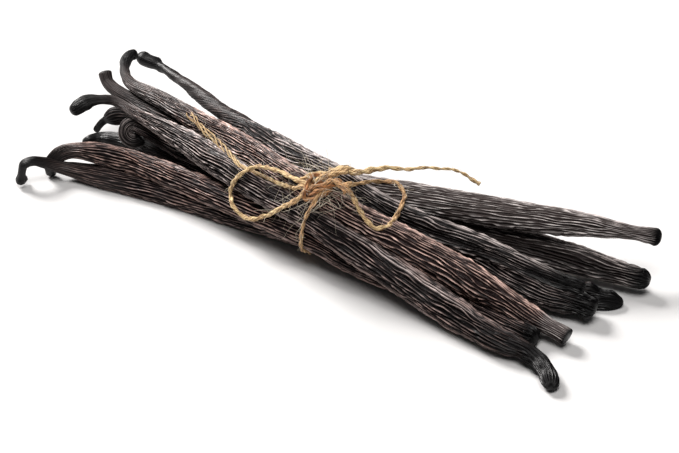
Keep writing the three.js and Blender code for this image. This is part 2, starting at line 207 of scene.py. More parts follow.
def linear(code):
    """A colour from its sRGB hex value, as linear red, green, blue and 1."""
    parts = [int(code[i:i + 2], 16) / 255 for i in (1, 3, 5)]
    return [c / 12.92 if c <= 0.04045 else ((c + 0.055) / 1.055) ** 2.4 for c in parts] + [1]


def new_material(name):
    """An empty node material, and its tree."""
    material = bpy.data.materials.new(name)
    material.use_nodes = True
    material.node_tree.nodes.clear()
    return material, material.node_tree


def add_node(tree, kind, settings=None, inputs=None):
    """A node of that kind, with its settings, and for each input a value or the socket that feeds it."""
    node = tree.nodes.new(kind)
    for key, value in (settings or {}).items():
        setattr(node, key, value)
    for key, value in (inputs or {}).items():
        if isinstance(value, bpy.types.NodeSocket):
            tree.links.new(value, node.inputs[key])
        else:
            node.inputs[key].default_value = value
    return node


# The sockets of a Mix node of colours go by number: how much, from what, to what, and the outcome.
COLOURS = {"data_type": "RGBA"}
SHARE, LOW, HIGH, OUTCOME = 0, 6, 7, 2

# Sizes of what is drawn on a surface, twice across it and once along it.
THREADS = (0.5 * MM, 0.5 * MM, 5 * MM)      # fine threads in the skin
BLOTCHES = (3 * MM, 3 * MM, 9 * MM)         # its cloudy patches of a warmer colour
FIBRES = (0.16 * MM, 0.16 * MM, 2.5 * MM)   # jute's are 0.06 mm wide; this is the finest that shows


def pod_skin():
    """Cured vanilla skin: killed, sweated and dried for months until oil and waxes come to its surface.

    To the eye it is nearly black and slightly oily, with fine threads along the pod and a red-brown cast
    where the skin is thin or dried out. Its colour also holds painted light: a soft grey sheen on the crests
    of its wrinkles, as painted highlight, and black in its grooves, as painted shade."""
    material, tree = new_material("cured vanilla skin")
    relief, warmth, tip, dust_and_sheen = (
        add_node(tree, "ShaderNodeAttribute", {"attribute_name": name}).outputs["Fac"]
        for name in ("relief", "warmth", "tip", "dust_and_sheen"))
    straight = add_node(tree, "ShaderNodeAttribute", {"attribute_name": "straight"}).outputs["Vector"]
    threads, blotches = (
        add_node(tree, "ShaderNodeTexNoise", {}, {
            "Vector": add_node(tree, "ShaderNodeMapping", {}, {
                "Vector": straight, "Scale": [1 / size for size in sizes]}).outputs[0],
            "Scale": 1.0, "Detail": 3.0, "Roughness": 0.6}).outputs["Fac"]
        for sizes in (THREADS, BLOTCHES))

    # the cast is uneven, and its power keeps most of the skin grey-black
    uneven = add_node(tree, "ShaderNodeMapRange", {}, {
        "Value": blotches, "From Min": 0.35, "From Max": 0.65, "To Min": -0.25, "To Max": 0.25}).outputs[0]
    cast = add_node(tree, "ShaderNodeMath", {"operation": "ADD", "use_clamp": True}, {
        0: warmth, 1: uneven}).outputs[0]
    cast = add_node(tree, "ShaderNodeMath", {"operation": "POWER"}, {0: cast, 1: 1.6}).outputs[0]

    # colours of the grooves, as painted shade, which only a very dried-out skin makes dusty, and of the
    # crests, as painted highlight, paler still with dust where the skin is dried out
    dark = add_node(tree, "ShaderNodeMix", COLOURS, {
        SHARE: cast, LOW: linear("#080304"), HIGH: linear("#1b0a0a")}).outputs[OUTCOME]
    dusty = add_node(tree, "ShaderNodeMapRange", {}, {"Value": dust_and_sheen, "From Min": 0.5}).outputs[0]
    dark = add_node(tree, "ShaderNodeMix", COLOURS, {
        SHARE: dusty, LOW: dark, HIGH: linear("#453c3a")}).outputs[OUTCOME]
    crest_sheen_and_dust = add_node(tree, "ShaderNodeMix", COLOURS, {
        SHARE: cast, LOW: linear("#ab9894"), HIGH: linear("#eec2b2")}).outputs[OUTCOME]
    crest_sheen_and_dust = add_node(tree, "ShaderNodeMix", COLOURS, {
        SHARE: dust_and_sheen, LOW: crest_sheen_and_dust, HIGH: linear("#f9f0ed")}).outputs[OUTCOME]

    # how far up from groove to crest the skin is, broken into threads: how much painted highlight the
    # colour gets, against the painted shade of the grooves
    crest = add_node(tree, "ShaderNodeMapRange", {}, {"Value": relief, "From Min": 0.3}).outputs[0]
    crest = add_node(tree, "ShaderNodeMath", {"operation": "POWER"}, {0: crest, 1: 2.0}).outputs[0]
    thread = add_node(tree, "ShaderNodeMapRange", {}, {
        "Value": threads, "From Min": 0.3, "From Max": 0.7, "To Min": 0.45, "To Max": 1.2}).outputs[0]
    height = add_node(tree, "ShaderNodeMath", {"operation": "MULTIPLY", "use_clamp": True}, {
        0: thread, 1: crest}).outputs[0]
    colour = add_node(tree, "ShaderNodeMix", COLOURS, {
        SHARE: height, LOW: dark, HIGH: crest_sheen_and_dust}).outputs[OUTCOME]
    colour = add_node(tree, "ShaderNodeMix", COLOURS, {
        SHARE: tip, LOW: colour, HIGH: linear("#050405")}).outputs[OUTCOME]

    # grooves are dull, crests carry the oil, and the smooth ends shine most
    dull = add_node(tree, "ShaderNodeMapRange", {}, {
        "Value": height, "From Max": 0.5, "To Min": 0.62, "To Max": 0.3}).outputs[0]
    roughness = add_node(tree, "ShaderNodeMath", {"operation": "MULTIPLY_ADD", "use_clamp": True}, {
        0: tip, 1: -0.14, 2: dull}).outputs[0]
    bump = add_node(tree, "ShaderNodeBump", {}, {
        "Height": threads, "Strength": 0.5, "Distance": 0.15 * MM})
    shader = add_node(tree, "ShaderNodeBsdfPrincipled", {}, {
        "Base Color": colour, "Roughness": roughness, "Normal": bump.outputs[0], "IOR": 1.29,
        "Coat Weight": 0.12, "Coat Roughness": 0.22, "Coat IOR": 1.45})
    add_node(tree, "ShaderNodeOutputMaterial", {}, {"Surface": shader.outputs[0]})
    return material


def jute():
    """Jute: long dull bast fibres spun into plies. To the eye it is a dried-straw yellow, with pale threads
    along each ply and no gloss. Its colour turns golden to orange-brown where the fibres lie low, as painted
    shade between them."""
    material, tree = new_material("spun jute")
    warmth = add_node(tree, "ShaderNodeAttribute", {"attribute_name": "warmth"}).outputs["Fac"]
    straight = add_node(tree, "ShaderNodeAttribute", {"attribute_name": "straight"}).outputs["Vector"]
    fibres = add_node(tree, "ShaderNodeTexNoise", {}, {
        "Vector": add_node(tree, "ShaderNodeMapping", {}, {
            "Vector": straight, "Scale": [1 / size for size in FIBRES]}).outputs[0],
        "Scale": 1.0, "Detail": 2.0, "Roughness": 0.6}).outputs["Fac"]
    fibre = add_node(tree, "ShaderNodeMapRange", {}, {
        "Value": fibres, "From Min": 0.38, "From Max": 0.65}).outputs[0]
    # where the fibres lie low under the bump the colour is painted shade between them: golden, and darkest
    # where the twine is most orange
    painted_fibre_shade = add_node(tree, "ShaderNodeMix", COLOURS, {
        SHARE: warmth, LOW: linear("#6d3f0c"), HIGH: linear("#2e1102")}).outputs[OUTCOME]
    pale = add_node(tree, "ShaderNodeMix", COLOURS, {
        SHARE: warmth, LOW: linear("#fce3ac"), HIGH: linear("#cd8a50")}).outputs[OUTCOME]
    colour = add_node(tree, "ShaderNodeMix", COLOURS, {
        SHARE: fibre, LOW: painted_fibre_shade, HIGH: pale}).outputs[OUTCOME]
    bump = add_node(tree, "ShaderNodeBump", {}, {
        "Height": fibres, "Strength": 0.8, "Distance": 0.12 * MM})
    shader = add_node(tree, "ShaderNodeBsdfPrincipled", {}, {
        "Base Color": colour, "Roughness": 0.75, "Normal": bump.outputs[0], "IOR": 1.5,
        "Sheen Weight": 0.15, "Sheen Roughness": 0.5})
    add_node(tree, "ShaderNodeOutputMaterial", {}, {"Surface": shader.outputs[0]})
    return material


def loose_fibre():
    """Single bast fibres: too thin to look spun, they catch the light as pale dull hairs."""
    material, tree = new_material("loose jute fibre")
    shader = add_node(tree, "ShaderNodeBsdfPrincipled", {}, {
        "Base Color": linear("#e3d8c2"), "Roughness": 0.55, "IOR": 1.5})
    add_node(tree, "ShaderNodeOutputMaterial", {}, {"Surface": shader.outputs[0]})
    return material


SKIN = pod_skin()
JUTE = jute()

# --- twine ----------------------------------------------------------------------------------------

TWINE = 1.44 * MM           # diameter of the twine
PLY = 0.29 * TWINE          # radius of a ply
PLY_OFFSET = 0.17 * TWINE   # how far a ply's middle lies from the twine's
LAY = 6.6 * MM              # length in which the plies turn once round each other
FIBRE_LAY = 0.8 * LAY       # and in which the fibres turn once round a ply
PLY_SIDES = 16
PLY_STEP = 0.2 * MM         # distance between a ply's rings
PLY_RIDGES = 9              # ridges of fibre round a ply,
RIDGE_LENGTH = 3 * MM       # how far each runs,
RIDGE_HEIGHT = 0.2          # and how high it is, over the ply's radius
SWELLING = 0.14             # how much a ply is thicker and thinner, over its radius
CUT_END = 0.6               # how thick its ends are, over its radius

# The routes of the free twine in millimetres, from the knot outwards, as the CAD has them.
FREE_TWINE = {
    "loop_left": [
        (0.1, -13, 23.2), (-2.3, -13.5, 23.9), (-6.3, -13.7, 23.9), (-10.3, -14, 23.4),
        (-14.6, -14.1, 21.5), (-16.5, -16, 20.1), (-18.2, -17.5, 17.4), (-20.2, -17.2, 12.7),
        (-16.9, -19.7, 10.7), (-13.5, -19.8, 9.1), (-9.7, -19.7, 9.9), (-6.4, -18.5, 11.8),
        (-1, -19.1, 16.7), (1.6, -17.6, 19), (2.5, -15.4, 19.3)],
    "tail_left": [
        (1.1, -14.6, 21.8), (-1.9, -14.4, 21.1), (-6.2, -14, 20.3), (-11.7, -13.1, 19.4),
        (-15.5, -13.5, 19.6), (-18.8, -13.7, 19.7), (-25, -11.5, 19.5), (-31.4, -9.3, 19.8),
        (-37.8, -8.1, 20.8), (-46, -5.7, 21.8)],
    "loop_right": [
        (12.4, -10.8, 27.1), (15.7, -11.4, 26.8), (16.4, -9.4, 23.1), (19.7, -11, 21.6),
        (22.8, -11.8, 19.9), (26.1, -11.7, 18.6), (28.1, -9.7, 19.1), (27.3, -5, 19.3),
        (26.6, -1.6, 21.1), (23.2, 3.2, 21.2), (19.9, 4.1, 22.1), (16.7, 2.7, 21.8),
        (15.2, -1.6, 23.2), (14.1, -5.6, 24.2), (12, -7.4, 23.6)],
    "tail_right": [
        (7.6, -8.4, 26.8), (10.1, -7.7, 28.3), (11.9, -6.1, 27.4), (14.2, -4.3, 27.2),
        (15.9, -0.6, 26.9), (18.7, 3.3, 26.8), (21.8, 5.5, 26.4), (24.8, 8.9, 26.5), (28.4, 12.1, 26.2),
        (31, 14.3, 25.8), (33.3, 15.7, 25), (35.3, 16.4, 23.8), (37.9, 17.2, 22.6)],
}


def route(points, step):
    """The smooth line through a route's points, cut into even steps."""
    points = np.asarray(points, float)
    given = distances(points)
    fine = through(given, points, np.linspace(0, given[-1], 40 * len(points)))
    length = distances(fine)
    at = np.linspace(0, length[-1], max(4, int(length[-1] / step)))
    return np.stack([np.interp(at, length, fine[:, axis]) for axis in range(3)], -1)


def add_twine(surface, middle, seed, thickness=1.0, spread=1.0, warmth=0.2, lay=1.0, plies=2):
    """Plies wound round a line: each ply's middle circles the twine's, and its skin is a circle with ridges.

    A ply's middle is middle + offset * (cos w * side + sin w * up), where w turns once in each lay; the
    plies drift, stand off and swell a little at random. thickness and spread are over the usual radius and
    offset, lay over the usual lay and warmth is from straw to orange, and each of them may change along
    the twine, with one value for each of its points."""
    rng = np.random.default_rng(seed)
    s = distances(middle)
    _, side, up = carried_frames(middle, np.array([0.3, 0.2, 1.0]))
    thickness, spread, warmth, lay = (
        np.broadcast_to(value, s.shape).astype(float) for value in (thickness, spread, warmth, lay))
    turn = np.arange(PLY_SIDES) / PLY_SIDES
    wound = np.cumsum(np.gradient(s) / (LAY * lay))
    for ply in range(plies):
        # each of these changes within its own few millimetres
        drift, strain, swell, shade = (
            cell_noise(rng, np.zeros(1), s[:, None], 1, pitch * MM)[:, 0] for pitch in (4, 3, 1.7, 2.5))
        angle = TAU * (wound + ply / plies + 0.09 * drift)
        out = np.cos(angle)[:, None] * side + np.sin(angle)[:, None] * up
        centre = middle + (PLY_OFFSET * spread * (1 + 0.25 * strain))[:, None] * out
        # fibres run round the ply against the lay, as ridges
        around = turn[None] + s[:, None] / FIBRE_LAY
        far = np.broadcast_to(s[:, None], around.shape)
        ridge = cell_noise(rng, around, far, PLY_RIDGES, RIDGE_LENGTH)
        radius = PLY * thickness[:, None] * (1 + RIDGE_HEIGHT * ridge + SWELLING * swell[:, None])
        radius[[0, -1]] *= CUT_END
        c, q = np.cos(TAU * turn)[None, :, None], np.sin(TAU * turn)[None, :, None]
        rings = centre[:, None] + radius[..., None] * (c * side[:, None] + q * up[:, None])
        # the pattern lies on a straight ply, far from the patterns of the others
        x, y = PLY * np.cos(TAU * around), PLY * np.sin(TAU * around)
        surface.add_tube(rings, (centre[0], centre[-1]), {
            "straight": np.stack([x + ply * 0.01, y, far + seed * 0.1], -1),
            "warmth": np.clip(np.broadcast_to((warmth + 0.2 * shade)[:, None], far.shape), 0, 1)})


# The knot's own axes: along the pods, across the bundle towards the front, and outwards from the tie.
wrap_low, wrap_high = (np.array(corner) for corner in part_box("twine_wrap"))
knot_low, knot_high = (np.array(corner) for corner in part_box("twine_knot"))
TIE = (wrap_low + wrap_high) / 2
KNOT = (knot_low + knot_high) / 2
KNOT_OUT = unit((KNOT - TIE) * (0, 1, 1))
KNOT_ACROSS = np.cross((1, 0, 0), KNOT_OUT)


def in_knot(points):
    """Points given in millimetres along the pods, across and outwards from the knot's middle."""
    x, across, out = np.array(points, float).T * MM
    return KNOT + x[:, None] * np.array([1.0, 0, 0]) + across[:, None] * KNOT_ACROSS + out[:, None] * KNOT_OUT


# Each strand of the knot: its route in the knot's axes, its thickness and how orange it is.
KNOT_STRANDS = [
    # left strand, upper
    ([(-12.2, 0.8, -0.6), (-8.9, 1.1, 0.3), (-6.1, 1.2, 0.9), (-3.2, 1.3, 1.2), (-0.7, 1.5, 1),
      (0.9, 1.9, 0.1)], 1.2, 0.12),
    # left strand, lower
    ([(-6.2, 3.4, -0.3), (-4.8, 2.9, 0.7), (-3, 2.5, 1.4), (-0.8, 2.8, 1.1), (0.4, 3.6, 0.2)], 1.05, 0.2),
    # front left
    ([(-5.2, 8.4, -0.9), (-3.4, 6.7, 0), (-2.2, 5.1, 0.8), (-1.6, 3.3, 1.5), (-2.3, 1, 1.5),
      (-2.5, -1.1, 0.9)], 1, 0.4),
    # arch
    ([(-1.3, 5, 0.3), (-1.4, 3.4, 1.9), (-1.9, 0.7, 2.3), (-1.6, -1.7, 2), (-0.1, -2.6, 1.5),
      (1.8, -2.2, 1), (2.8, -1.1, 0.4)], 0.75, 0.9),
    # across
    ([(-1.1, 3.3, 1.2), (0.5, 1.5, 2.3), (2.4, 0.3, 2.5), (3.7, -1.4, 2.1), (4.6, -3.2, 1.4),
      (5.8, -3.3, 0.6)], 0.95, 0.85),
    # across, lower
    ([(-0.3, 4, 0.6), (1.3, 2.6, 1.8), (3, 1.1, 2.1), (4, -0.7, 1.6), (4.5, -2, 0.7)], 0.85, 0.95),
    # to the right
    ([(-1.3, -0.1, 0.9), (-0.1, -1.4, 1.7), (1.3, -2.7, 1.9), (2.6, -4.1, 1.5), (3.9, -5.5, 1.2),
      (5.5, -7, 1)], 1.3, 0.4),
    # to the front leg
    ([(2, -0.1, 1.2), (3.2, -1.5, 2.2), (4.9, -2.3, 2.3), (7.1, -1.9, 1.8), (9.2, -1.1, 1.4)], 1.15, 0.65),
    # below
    ([(-2.7, 4.1, 0), (-0.8, 4.8, 0.2), (1.2, 4.2, 0.7), (2.6, 2.5, 1.1), (3.5, 0.7, 1),
      (4, -1, 0.3)], 1.05, 0.8),
    # back leg
    ([(3, -1, 0.6), (5, -2.1, 0.9), (6.7, -3.4, 0.6), (8.5, -4.5, 0.4)], 0.85, 0.4),
    # to the wrap
    ([(2.1, 0.6, 1), (2.3, 2.7, 1.2), (2.2, 5, 0.4), (1.7, 7, -0.6)], 0.9, 0.55),
    # top
    ([(-5.8, 0.4, 0.2), (-3.9, -1.1, 0.9), (-2.2, -2.6, 1), (-0.2, -3.5, 0.9), (1.7, -4.8, 1.2),
      (3, -6, 1.3), (4.4, -7.1, 1.2), (5.8, -8, 1)], 1, 0.35),
]


WRAP_SIDES = 8                          # sides of the CAD wrap
WRAP_DEPTH = 1.2 * MM                   # how far under the knot's middle the wrap's ends meet
CORE_MIDDLE = np.array([0.6, 0.6, 0])   # of the knot's core, in millimetres on the knot's axes,
CORE_HALF = np.array([3.4, 2.3, 1.3])   # half its length, width and depth,
CORE_SWELL = 0.12                       # and how uneven it is, over its radius


def wrap_middle():
    """The line of the wrap: the CAD tube's corners in order round the tie, averaged section by section."""
    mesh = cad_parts["twine_wrap"].data
    corners = np.empty(3 * len(mesh.vertices), np.float32)
    mesh.vertices.foreach_get("co", corners)
    corners = np.unique(np.round(corners.reshape(-1, 3).astype(float), 6), axis=0)
    offset = corners - TIE
    start = math.atan2(KNOT_OUT[2], KNOT_OUT[1])
    angle = (np.arctan2(offset[:, 2], offset[:, 1]) - start) % TAU
    return corners[np.argsort(angle)].reshape(-1, WRAP_SIDES, 3).mean(1)


# How each free stretch looks from the knot outwards: what add_twine takes, as (share of its length, value)
# pairs. The left tail has come undone into four thin strands.
LOOKS = {
    "loop_left": dict(far_end="object", seed=31, warmth=[(0, 0.1), (0.5, 0.05), (1, 0.2)]),
    "tail_left": dict(far_end="bare", seed=32, thickness=[(0, 0.85), (0.3, 0.6), (1, 0.48)],
                      spread=[(0, 1), (0.35, 1.6), (0.7, 2.8), (1, 3.2)],
                      warmth=[(0, 0.05), (0.3, 0.1), (1, 0.15)],
                      lay=[(0, 1.1), (0.3, 1.5), (1, 2.2)], plies=4),
    "loop_right": dict(far_end="object", seed=33, thickness=[(0, 1.2), (0.5, 1), (1, 0.85)],
                       spread=[(0, 1.1), (1, 1)], warmth=[(0, 0.6), (0.3, 0.2), (0.6, 0.6), (1, 0.35)],
                       lay=[(0, 1), (1, 1.3)]),
    "tail_right": dict(far_end="bare", seed=34,
                       thickness=[(0, 1.4), (0.3, 1.25), (0.5, 0.8), (0.85, 0.55), (0.93, 0.7), (1, 1)],
                       spread=[(0, 1.5), (0.35, 1.3), (0.7, 0.8), (0.9, 0.8), (1, 1.5)],
                       warmth=[(0, 0.25), (0.4, 0.05), (1, 0)], lay=[(0, 1.3), (1, 0.8)]),
}


def free_twine(name, far_end, seed, plies=2, **looks):
    """One free stretch of twine, in place of its CAD cord, along its route."""
    middle = route(MM * np.array(FREE_TWINE[name]), PLY_STEP)
    share = np.linspace(0, 1, len(middle))
    looks = {key: eased(pairs, share) for key, pairs in looks.items()}
    surface = Surface()
    add_twine(surface, middle, seed, plies=plies, **looks)
    piece = surface.piece("twine_" + name, JUTE)
    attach(piece, "root")
    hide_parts(name)
    return middle


routes = {name: free_twine(name, **looks) for name, looks in LOOKS.items()}


def make_wrap():
    """The round of twine at the waist, closed under the knot."""
    ends = KNOT - WRAP_DEPTH * KNOT_OUT
    middle = route(np.concatenate([[ends], wrap_middle(), [ends]]), PLY_STEP)
    surface = Surface()
    add_twine(surface, middle, seed=35, thickness=0.8, warmth=0.45)
    piece = surface.piece("twine_round_waist", JUTE)
    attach(piece, "root")
    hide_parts("twine_wrap")
    return middle


def add_knot_core(surface):
    """Packed fibre under the strands, an uneven ellipsoid.

    A point at turn a and angle b lies at middle + half * (cos b, w sin b cos a, w sin b sin a), where w
    is one and a little more or less."""
    rng = np.random.default_rng(39)
    turn, rise = np.meshgrid(np.arange(48) / 48, np.linspace(0, math.pi, 26)[1:-1])
    ring = np.sin(rise) * (1 + CORE_SWELL * cell_noise(rng, turn, rise, 14, 0.8))
    ball = np.stack([np.cos(rise), ring * np.cos(TAU * turn), ring * np.sin(TAU * turn)], -1)
    local = CORE_MIDDLE + CORE_HALF * ball
    rings = in_knot(local.reshape(-1, 3)).reshape(local.shape)
    poles = in_knot(CORE_MIDDLE + CORE_HALF * np.array([(1, 0, 0), (-1, 0, 0)]))
    # warmth one all over: the darkest orange-brown of the jute, in part its tone and in part painted shade in
    # the knot's middle
    surface.add_tube(rings, poles, {"straight": local * MM, "warmth": np.ones(ring.shape)})


def make_knot():
    """The bow's knot: strands that cross each other over a core."""
    surface = Surface()
    for number, (points, thickness, warmth) in enumerate(KNOT_STRANDS):
        middle = route(in_knot(points), PLY_STEP)
        add_twine(surface, middle, seed=40 + number, thickness=thickness, warmth=warmth)
    add_knot_core(surface)
    piece = surface.piece("twine_knot_strands", JUTE)
    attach(piece, "root")
    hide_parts("twine_knot")


routes["wrap"] = make_wrap()
make_knot()

# --- stray fibres ---------------------------------------------------------------------------------

HAIR = 0.04 * MM            # radius of a stray fibre at its root
HAIR_TAPER = 0.75           # how much of it is gone at the point
HAIR_POINTS = 20
HAIR_SIDES = 4
HAIRS_BEND = 32 * MM        # above this height they lie over,
HAIRS_RISE = 5 * MM         # and rise at most this much further

# how many there are on each stretch of twine, and round the knot
HAIR_NUMBERS = {"loop_left": 50, "tail_left": 90, "loop_right": 45, "tail_right": 60, "wrap": 60}
KNOT_HAIRS = 70


def add_hairs(surface, roots, towards, lengths, curl, waves, rng):
    """Thin fibres: each leaves its root in a direction, bends over, waves and ends in a point.

    All are worked out at once; a fibre's middle is root + length * (direction * t + bend * t^2
    + wave * (sin(waves * t + phase) - sin phase))."""
    count = len(roots)
    t = np.linspace(0, 1, HAIR_POINTS)[None, :, None]
    bend = rng.normal(0, 1, (count, 1, 3)) * curl
    wave = rng.normal(0, 1, (count, 1, 3)) * curl * 0.35
    phase = rng.uniform(0, TAU, (count, 1, 1))
    shape = towards[:, None] * t + bend * t ** 2 + wave * (np.sin(waves * t + phase) - np.sin(phase))
    middle = roots[:, None] + lengths[:, None, None] * shape
    over = np.maximum(middle[..., 2] - HAIRS_BEND, 0)
    middle[..., 2] = np.maximum(middle[..., 2] - over + HAIRS_RISE * np.tanh(over / HAIRS_RISE), HAIR)
    thick = HAIR * (1 - HAIR_TAPER * t[0])
    turn = TAU * np.arange(HAIR_SIDES) / HAIR_SIDES
    for line in middle:
        _, side, up = carried_frames(line, np.array([0.31, 0.17, 0.93]))
        direction = np.cos(turn)[None, :, None] * side[:, None] + np.sin(turn)[None, :, None] * up[:, None]
        surface.add_tube(line[:, None] + thick[:, None] * direction, (line[0], line[-1]), {})


def make_hairs():
    """Stray fibres along the twine, more of them on the frayed tails and round the knot."""
    rng = np.random.default_rng(77)
    surface = Surface()
    for name, number in HAIR_NUMBERS.items():
        line = routes[name]
        place = rng.integers(2, len(line) - 2, number)
        out = unit(rng.normal(0, 1, (number, 3)) + np.array([0, 0, 0.4]))
        along = unit(line[place + 1] - line[place - 1]) * rng.choice([-1, 1], (number, 1))
        roots = line[place] + 0.3 * TWINE * out
        lengths = rng.uniform(1, 4, number) * MM
        add_hairs(surface, roots, unit(out + 1.4 * along), lengths, curl=0.3, waves=5, rng=rng)
    out = rng.normal(0, 1, (KNOT_HAIRS, 3)) * (1.3, 1, 0.5)
    out = unit(out - 0.2 * KNOT_ACROSS + 0.15 * KNOT_OUT)
    roots = KNOT + out * np.array([4, 3, 2.4]) * MM
    lengths = rng.uniform(2, 5, KNOT_HAIRS) * MM
    add_hairs(surface, roots, out, lengths, curl=1.4, waves=7, rng=rng)
    piece = surface.piece("twine_fibres", loose_fibre())
    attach(piece, "root")


make_hairs()

# --- pods -----------------------------------------------------------------------------------------

AROUND = 236                # points round a pod
POD_STEP = 0.54 * MM        # distance between its sections
CAP_SECTIONS = 14           # sections in each rounded end
BLUNT = 2 / 2.4             # power of the sine that rounds the ends, below one for blunter than a ball
CAD_SIDES = 10              # sides of the CAD pods
CAD_DOME = 3                # of their sections, how many make each rounded end
MERGE = 0.01 * MM           # corners nearer than this are one
PLUMP = 0.25 * MM           # how far the skin stands out from the CAD section, over its gap
USUAL_RADIUS = 2.6 * MM     # a pod thinner than this has lower wrinkles
FINEST = 5                  # points round a pod to a fine ridge, at the least
PATTERN_RADIUS = 3 * MM     # of the straight pod that the pattern of the skin lies on

TURN = np.arange(AROUND) / AROUND                           # where the points round a pod lie, in turns
CAP = np.linspace(0, math.pi / 2, CAP_SECTIONS + 1)[1:]     # the angle of each of an end's sections

# Where a pod's creases and edges lie: towards the front, or upwards as seen from there.
FRONT = unit(np.array(CAMERA_PLACE) - np.array(CAMERA_AIM))
ABOVE = unit(np.array([0, 0, 1.0]) - FRONT * FRONT[2])

# What the rows below say of a pod, and USUAL of one whose row doesn't say it.
# Along it, from its stem, as (share of its length, value):
#   girth           over the CAD section's
#   wrinkles        how high its ridges stand: about half a millimetre at 1
#   folds           how high its broad folds stand: about a fifth of a millimetre at 1
#   twist           turns that its ridges make round it
#   warmth          from grey-black to red-brown
#   dust_and_sheen  from oily to pale and dusty, with its crests lighter as painted highlight
#   forward, lift   millimetres by which it lies further to the front, or higher, than the CAD pod
# For the whole pod:
#   seed            starts its random draws
#   pitch           millimetres from one ridge to the next
#   grain           how rough its ridges are
#   dark            how many millimetres of each end are smooth and black
#   ends            how many radii the rounding of each end takes
#   longer          how many millimetres its stem end is drawn out
#   creases         each with its shares of FRONT and ABOVE, its depth in millimetres (below zero for an
#                   edge), its width in radians, and how much of it shows along the pod
USUAL = dict(pitch=0.68, grain=0.06, ends=(1, 1), longer=0, creases=(), folds=[(0, 1), (1, 1)],
             twist=[(0, 0), (1, 0.08)], dust_and_sheen=[(0, 0), (1, 0)], forward=[(0, 0), (1, 0)], lift=[(0, 0), (1, 0)])
ALONG = ("girth", "wrinkles", "folds", "twist", "warmth", "dust_and_sheen", "forward", "lift")

